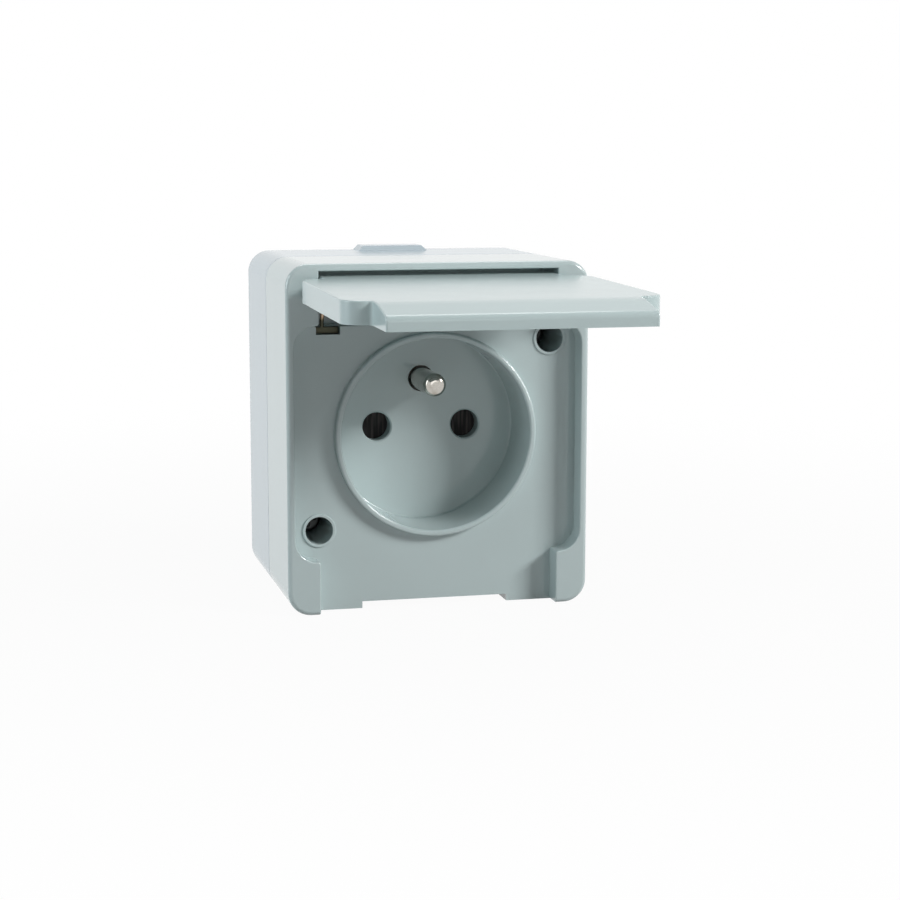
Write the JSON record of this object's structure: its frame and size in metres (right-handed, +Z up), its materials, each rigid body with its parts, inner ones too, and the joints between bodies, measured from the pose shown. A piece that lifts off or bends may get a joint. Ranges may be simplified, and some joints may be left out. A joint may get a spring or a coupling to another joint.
{
  "type": "outdoor weatherproof socket",
  "caption": "Surface-mounted weatherproof mains socket with a round plug well, a projecting earth pin and a hinged spring lid standing open",
  "frame": {"origin": "middle of the flat wall face at the back of the box", "axes": "+Y is the wall face's outward normal, into the wall; +Z up; +X to the right seen from the front; the lid stands out along -Y"},
  "size_m": [0.0626, 0.1148, 0.0721],
  "materials": {
    "shell": "satin light grey moulded plastic",
    "lid_plastic": "glossy light grey moulded plastic",
    "insulator": "white moulded insulating plastic",
    "shutter_plastic": "black moulded plastic",
    "soft_seal": "soft dark grey seal",
    "contact_brass": "plain brass",
    "pin_metal": "nickel-plated brass",
    "zinc_steel": "zinc-plated steel",
    "spring_steel": "bronze-toned spring steel"
  },
  "bodies": {
    "housing": {"front_cover": "shell", "base_box": "shell", "cable_entry_insert": "shell", "cover_gasket": "soft_seal", "screw_seals": "soft_seal", "fixing_washers": "soft_seal", "cover_screws": "zinc_steel", "carrier_screws": "zinc_steel", "terminal_screws": "zinc_steel", "hinge_pin": "zinc_steel", "contact_carrier": "insulator", "carrier_cap": "insulator", "live_contact": "contact_brass", "neutral_contact": "contact_brass", "earth_strap": "contact_brass", "earth_pin": "pin_metal", "shutter_spring": "spring_steel", "hinge_spring": "spring_steel"},
    "lid": {"lid": "lid_plastic", "lid_gasket": "soft_seal"},
    "shutter": {"shutter": "shutter_plastic"}
  },
  "joints": [
    {"name": "lid_hinge", "type": "hinge", "parent": "housing", "child": "lid", "pos_m": [0, -0.0492, 0.0302], "axis": [1, 0, 0], "range_deg": [-12, 89.1]},
    {"name": "shutter_slide", "type": "slide", "parent": "housing", "child": "shutter", "axis": [1, 0, 0], "range_m": [0, 0.0066], "stiffness_N_per_m": 60, "springref_m": -0.003, "deforming": ["shutter_spring"]}
  ]
}
